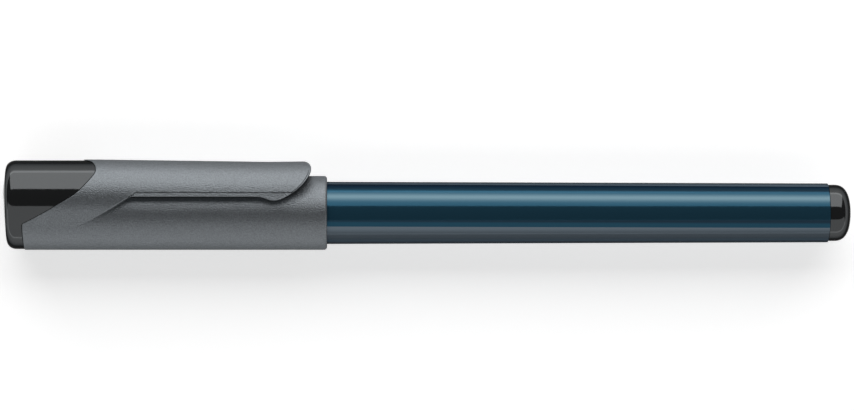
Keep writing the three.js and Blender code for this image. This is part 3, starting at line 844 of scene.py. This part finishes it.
class Shader:
    """A node material: the Principled shader and short ways to add what feeds it."""

    def __init__(self, name):
        self.material = bpy.data.materials.new(name)
        self.material.use_nodes = True
        self.nodes = self.material.node_tree.nodes
        self.links = self.material.node_tree.links
        self.shader = self.nodes["Principled BSDF"]
        self.coords = self.node("ShaderNodeTexCoord").outputs["Object"]

    def node(self, kind, **settings):
        made = self.nodes.new(kind)
        for key, value in settings.items():
            setattr(made, key, value)
        return made

    def set(self, **sockets):
        for key, value in sockets.items():
            self.shader.inputs[key.replace("_", " ")].default_value = value
        return self

    def link(self, output, socket):
        self.links.new(output, socket)

    def noise(self, size_mm, detail=3.0, roughness=0.55):
        """Noise with features of this size."""
        made = self.node("ShaderNodeTexNoise")
        made.inputs["Scale"].default_value = 1 / (size_mm * MM)
        made.inputs["Detail"].default_value = detail
        made.inputs["Roughness"].default_value = roughness
        self.link(self.coords, made.inputs["Vector"])
        return made.outputs["Fac"]

    def math(self, operation, a, b=0.0, c=0.0):
        made = self.node("ShaderNodeMath", operation=operation)
        for socket, value in zip(made.inputs, (a, b, c)):
            if isinstance(value, (int, float)):
                socket.default_value = value
            else:
                self.link(value, socket)
        return made.outputs["Value"]

    def remap(self, value, low, high, to_low, to_high):
        made = self.node("ShaderNodeMapRange")
        self.link(value, made.inputs["Value"])
        keys = ("From Min", "From Max", "To Min", "To Max")
        for key, number in zip(keys, (low, high, to_low, to_high)):
            made.inputs[key].default_value = number
        return made.outputs["Result"]

    def mix(self, share, a, b):
        made = self.node("ShaderNodeMix", data_type="RGBA")
        for key, value in (("Factor", share), ("A", a), ("B", b)):
            if isinstance(value, (int, float, tuple)):
                made.inputs[key].default_value = value
            else:
                self.link(value, made.inputs[key])
        return made.outputs["Result"]

    def bump(self, height, depth_mm, strength=1.0):
        made = self.node("ShaderNodeBump")
        made.inputs["Strength"].default_value = strength
        made.inputs["Distance"].default_value = depth_mm * MM
        self.link(height, made.inputs["Height"])
        self.link(made.outputs["Normal"], self.shader.inputs["Normal"])
        return self

    def feed(self, socket, value):
        self.link(value, self.shader.inputs[socket])
        return self


def shade(colour, level):
    """A colour made lighter or darker, with full alpha."""
    return (*(c * level for c in colour), 1)


def satin_grey():
    """Metallic grey plastic with the fine grain of a spark-eroded mould."""
    s = Shader("satin_grey")
    s.set(Metallic=0.8, Roughness=0.39, Specular_Tint=(0.3, 0.3, 0.3, 1))
    flakes = s.noise(size_mm=0.22, detail=1.0)
    s.feed("Base Color", s.mix(s.remap(flakes, *NOISE_RANGE, 0, 1), GREY_DARK, GREY_LIGHT))
    s.feed("Roughness", s.remap(s.noise(size_mm=3.0), *NOISE_RANGE, to_low=0.375, to_high=0.405))
    s.bump(s.noise(size_mm=0.2, detail=0.0), depth_mm=0.055, strength=1.0)
    return s.material


def gloss_black():
    """Polished moulded black with faint handling marks."""
    s = Shader("gloss_black")
    s.set(Base_Color=GLOSS, Metallic=0.93, Roughness=0.08, Specular_Tint=(0.15, 0.15, 0.15, 1))
    marks = s.noise(size_mm=1.2, detail=4.0)
    s.feed("Roughness", s.remap(marks, low=0.35, high=0.75, to_low=0.06, to_high=0.12))
    s.bump(s.noise(size_mm=0.5, detail=2.0), depth_mm=0.002, strength=0.5)
    return s.material


def barrel_print():
    """Petrol blue field on grey, with a painted highlight along the blue, painted shade in two darker
    lines along the blue, and painted shade on the grey towards the rims.
    """
    s = Shader("barrel_print")
    offset = s.node("ShaderNodeVectorMath", operation="SUBTRACT")
    s.link(s.coords, offset.inputs[0])
    offset.inputs[1].default_value = PEN_ORIGIN
    split = s.node("ShaderNodeSeparateXYZ")
    s.link(offset.outputs["Vector"], split.inputs["Vector"])
    degrees = s.math("MULTIPLY", s.math("ARCTAN2", split.outputs["Y"], split.outputs["Z"]), 180 / math.pi)
    past_mouth = s.math("SUBTRACT", split.outputs["X"], CAP_LENGTH * MM)
    printed = s.math("MULTIPLY_ADD", past_mouth, -FIELD_TURN / MM, degrees)
    low, high = FIELD
    from_low = s.remap(printed, low - FIELD_BLUR, low + FIELD_BLUR, 0, 1)
    to_high = s.remap(printed, high - FIELD_BLUR, high + FIELD_BLUR, 1, 0)
    inside = s.math("MINIMUM", from_low, to_high)
    # Painted highlight: a lighter band round the blue that stands in for a lamp's reflection.
    highlight_angle = s.math("MULTIPLY_ADD", past_mouth, -HIGHLIGHT_TURN / MM, degrees)
    off = s.math("DIVIDE", s.math("SUBTRACT", highlight_angle, HIGHLIGHT_AT), HIGHLIGHT_SPREAD)
    painted_highlight = s.math("EXPONENT", s.math("MULTIPLY", s.math("MULTIPLY", off, off), -0.5))
    # Painted shade: the blue darkens towards its upper edge and in a thin wedge above its lower edge.
    top_shade = s.remap(printed, *TOP_SHADE, 0, 1)
    below, above = s.remap(degrees, *WEDGE_FROM, 0, 1), s.remap(printed, *WEDGE_TO, 0, 1)
    blue_shade = s.math("MAXIMUM", top_shade, s.math("MULTIPLY", below, above))
    # Painted shade: the grey darkens towards the barrel's rims and lightens again further round.
    off_middle = s.math("ABSOLUTE", s.math("SUBTRACT", degrees, (low + high) / 2))
    rim_shade = s.remap(off_middle, *RIM_SHADE_FROM, 0, RIM_SHADE_SHARE)
    rim_shade = s.math("SUBTRACT", rim_shade, s.remap(off_middle, *RETURN_FROM, 0, RETURN_SHARE))
    grey = s.mix(rim_shade, PRINT_GREY, PAINTED_SHADE_GREY)
    blue = s.mix(blue_shade, s.mix(painted_highlight, PRINT_BLUE, PAINTED_HIGHLIGHT), PAINTED_SHADE_BLUE)
    s.feed("Base Color", s.mix(inside, grey, blue))
    s.set(Metallic=0.58, Roughness=0.12, Specular_IOR_Level=0.0, Specular_Tint=(0.05, 0.05, 0.05, 1))
    s.feed("Roughness", s.remap(s.noise(size_mm=2.0), *NOISE_RANGE, to_low=0.1, to_high=0.15))
    return s.material


def seal_white():
    """Soft natural plastic, slightly cloudy."""
    s = Shader("seal_white")
    dark, light = shade(SEAL_WHITE, 0.93), shade(SEAL_WHITE, 1.05)
    s.feed("Base Color", s.mix(s.noise(size_mm=2.5), dark, light))
    s.set(Roughness=0.45)
    s.feed("Roughness", s.remap(s.noise(size_mm=0.8), *NOISE_RANGE, to_low=0.4, to_high=0.5))
    s.bump(s.noise(size_mm=0.3), depth_mm=0.01, strength=0.5)
    return s.material


def fibre(name, colour, strand_mm):
    """Bundled fibres running along the pen."""
    s = Shader(name)
    stretch = s.node("ShaderNodeMapping")
    stretch.inputs["Scale"].default_value = (STRAND_STRETCH, 1, 1)
    s.link(s.coords, stretch.inputs["Vector"])
    strands = s.node("ShaderNodeTexNoise")
    strands.inputs["Scale"].default_value = 1 / (strand_mm * MM)
    strands.inputs["Detail"].default_value = 2.0
    s.link(stretch.outputs["Vector"], strands.inputs["Vector"])
    s.feed("Base Color", s.mix(strands.outputs["Fac"], shade(colour, 0.6), shade(colour, 1.0)))
    s.set(Roughness=0.85)
    s.bump(strands.outputs["Fac"], depth_mm=0.03, strength=0.8)
    return s.material


def clear_film():
    s = Shader("clear_film")
    s.feed("Base Color", s.mix(s.noise(size_mm=4.0), FILM_DARK, FILM_LIGHT))
    s.set(Roughness=0.2, Alpha=0.5)
    s.bump(s.noise(size_mm=1.5), depth_mm=0.02, strength=0.4)
    return s.material


def edge_middle(edge):
    """[x, y, z] of an edge's middle in the pen's frame."""
    return [c / MM for c in (edge.verts[0].co + edge.verts[1].co) / 2 - PEN_ORIGIN]


def at_root(edge):
    """Whether an edge lies in the plane where the clip grows out of the sleeve."""
    x, y, _ = edge_middle(edge)
    upright = abs(edge.verts[0].co.x - edge.verts[1].co.x) < TOUCH * MM
    return upright and abs(x - ROOT_X) < TOUCH and y > EDGE_Y + NEAR / 2


def step_height(x):
    """How far the head stands over the round body along the step, at this place on its side-view line."""
    k = min(range(TANGENT_COLUMN + 1), key=lambda k: abs(HEAD_ENDS[k] - x))
    return math.dist(hull_point(HEAD_ENDS[k], k), round_point(BODY_R, k))


def step_share(edge):
    """Full rounding along the step's outer edge where the step is high, less at its foot and elsewhere."""
    x, y, z = edge_middle(edge)
    rise = math.hypot(y, z) - BODY_R
    if not STEP_FOOT[0] - NEAR < x < ROOT_X + NEAR:
        return EDGE_SHARE
    if y < EDGE_Y + BESIDE and rise > NEAR and abs(x - x_at(STEP, y)) < BESIDE:
        return min(1.0, step_height(x) / FULL_STEP_EDGE)
    if abs(rise) < NEAR:
        return min(EDGE_SHARE, step_height(x) / FULL_STEP_FOOT)
    return EDGE_SHARE


def near_tip(x, y):
    """Whether a point lies on the groove beside the clip's end, clear of the end itself."""
    before = x_at(TIP, y) - x
    return RIM - NEAR < before < RIM + GROOVE + NEAR


def at_crease(edge):
    """Whether an edge runs along the crease under the clip's skin or the groove beside the clip's end."""
    x, y, z = edge_middle(edge)
    top = crease_y(x)
    on_side = x > ROOT_X - NEAR and abs(z) > BAND_EDGE_Z - BAND_REACH
    along = on_side and top - GROOVE - NEAR < y < top + NEAR
    return along or (y > top - NEAR and x > NUB_X and near_tip(x, y))


def dress():
    """Makes each piece and gives it its finish. Every piece but the clip rides on its body."""
    grey = satin_grey()
    black = gloss_black()
    nib_look = fibre("nib_fibre", NIB_BLACK, strand_mm=0.08)
    core_look = fibre("reservoir_fibre", CORE_BLACK, strand_mm=0.12)
    sleeve = soften(cap_sleeve(), SLEEVE_BEVEL, spare=at_root, share=step_share)
    pieces = [
        (sleeve, grey, "cap", "cap_shell", "satin_grey"),
        (soften(closed_end(), END_BEVEL), black, "cap", "cap_end", "gloss_black"),
        (seal_thimble(), seal_white(), "cap", "inner_cap", "seal_white"),
        (front_holder(), black, "marker", "front_section", "gloss_black"),
        (fibre_nib(), nib_look, "marker", "nib", "nib_fibre"),
        (ink_core(), core_look, "marker", "reservoir_core", "reservoir_fibre"),
        (core_film(), clear_film(), "marker", "reservoir_wrap", "clear_film"),
        (barrel_tube(), barrel_print(), "marker", "barrel", "barrel_print"),
        (tail_dome(), black, "marker", "tail_plug", "gloss_black"),
    ]
    for obj, look, body, node, slot in pieces:
        obj.data.materials.append(look)
        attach(obj, body)
        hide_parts(node)

    clip = soften(pocket_clip(), CLIP_BEVEL, spare=lambda edge: at_root(edge) or at_crease(edge))
    clip.data.materials.append(grey)
    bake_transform(clip)
    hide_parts("clip")


# Camera. Its place and view are in millimetres, as the pen is, and its height is in metres.
CAMERA_X = 55.7
CAMERA_HEIGHT = 0.744
LENS = 187.96
VIEW_CENTRE = (LENGTH / 2, 1.315)
VIEW_WIDTH = 142.3

# Studio, in metres. Lamps are set out round the pen's axis, by angles from straight up towards +Y. The
# floor's glow grows with the distance from its middle.
BOX_FROM, BOX_TO = 26.0, 96.5
CARD_FROM, CARD_TO = -27.2, -88.0
PANEL_DISTANCE = 0.45
BOX_LENGTH, BOX_X = 0.84, 0.03
CARD_LENGTH, CARD_X = 2.4, 0.0
BOX_LEVEL, CARD_LEVEL = 2.2, 0.85
FLOOR_COLOUR = 0.8
FLOOR_GLOW_NEAR, FLOOR_GLOW_FAR = 0.48, 1.0
FLOOR_NEAR, FLOOR_FAR = 0.25, 0.8
FLOOR_RIM = [(2.0, 0), (2.6, 0.02), (3.0, 0.1), (3.2, 0.25), (3.25, 0.4)]
FLOOR_SIDES = 64
WORLD_LEVEL = 0.1


def camera():
    """Straight above the pen at CAMERA_X. The shift only frames the pen as the photo does."""
    data = bpy.data.cameras.new("camera")
    data.lens = LENS
    data.shift_x = (VIEW_CENTRE[0] - CAMERA_X) / VIEW_WIDTH
    obj = bpy.data.objects.new("camera", data)
    bpy.context.scene.collection.objects.link(obj)
    obj.location = place(CAMERA_X, VIEW_CENTRE[1], 0) + Vector((0, 0, CAMERA_HEIGHT))
    bpy.context.scene.camera = obj


def panel(name, start, end, length, x, level):
    """A flat area light that fills the angles from start to end, seen from the pen's axis."""
    a, b = math.radians(start), math.radians(end)
    middle, half = (a + b) / 2, abs(b - a) / 2
    data = bpy.data.lights.new(name, "AREA")
    data.shape = "RECTANGLE"
    data.size = length
    data.size_y = 2 * PANEL_DISTANCE * math.tan(half)
    data.energy = level * math.pi * data.size * data.size_y
    obj = bpy.data.objects.new(name, data)
    bpy.context.scene.collection.objects.link(obj)
    away = Vector((0, math.sin(middle), math.cos(middle)))
    obj.location = place(LENGTH / 2, 0, 0) + away * PANEL_DISTANCE + Vector((x, 0, 0))
    obj.rotation_mode = "QUATERNION"
    obj.rotation_quaternion = away.to_track_quat("Z", "Y")
    obj.visible_camera = False


def stage_floor():
    """A large pale floor that curves up at its rim. It looks white where it is seen or mirrored."""
    s = Shader("floor")
    s.set(Base_Color=shade([FLOOR_COLOUR] * 3, 1.0), Roughness=0.9, Specular_IOR_Level=0.0)
    ray = s.node("ShaderNodeLightPath").outputs
    mirrored = s.math("MAXIMUM", ray["Is Glossy Ray"], ray["Is Transmission Ray"])
    seen = s.math("MAXIMUM", ray["Is Camera Ray"], mirrored)
    s.set(Emission_Color=(1, 1, 1, 1))
    reach = s.node("ShaderNodeVectorMath", operation="LENGTH")
    s.link(s.coords, reach.inputs[0])
    glow = s.remap(reach.outputs["Value"], FLOOR_NEAR, FLOOR_FAR, FLOOR_GLOW_NEAR, FLOOR_GLOW_FAR)
    s.feed("Emission Strength", s.math("MULTIPLY", seen, glow))
    bm = bmesh.new()
    hub = bm.verts.new((0, 0, 0))
    turns = [2 * math.pi * i / FLOOR_SIDES for i in range(FLOOR_SIDES)]
    rings = []
    for r, z in FLOOR_RIM:
        rings.append([bm.verts.new((r * math.cos(t), r * math.sin(t), z)) for t in turns])
    for i in range(FLOOR_SIDES):
        j = (i + 1) % FLOOR_SIDES
        bm.faces.new((hub, rings[0][i], rings[0][j]))
        for low, high in zip(rings, rings[1:]):
            bm.faces.new((low[i], high[i], high[j], low[j]))
    floor = to_object("floor", bm)
    floor.data.materials.append(s.material)


def world():
    made = bpy.data.worlds.new("world")
    made.use_nodes = True
    background = made.node_tree.nodes["Background"]
    background.inputs["Color"].default_value = shade([WORLD_LEVEL] * 3, 1.0)
    bpy.context.scene.world = made
    bpy.context.scene.view_settings.view_transform = "Standard"


camera()
dress()
panel("softbox", BOX_FROM, BOX_TO, BOX_LENGTH, BOX_X, BOX_LEVEL)
panel("reflector", CARD_FROM, CARD_TO, CARD_LENGTH, CARD_X, CARD_LEVEL)
stage_floor()
world()

bpy.context.view_layer.update()
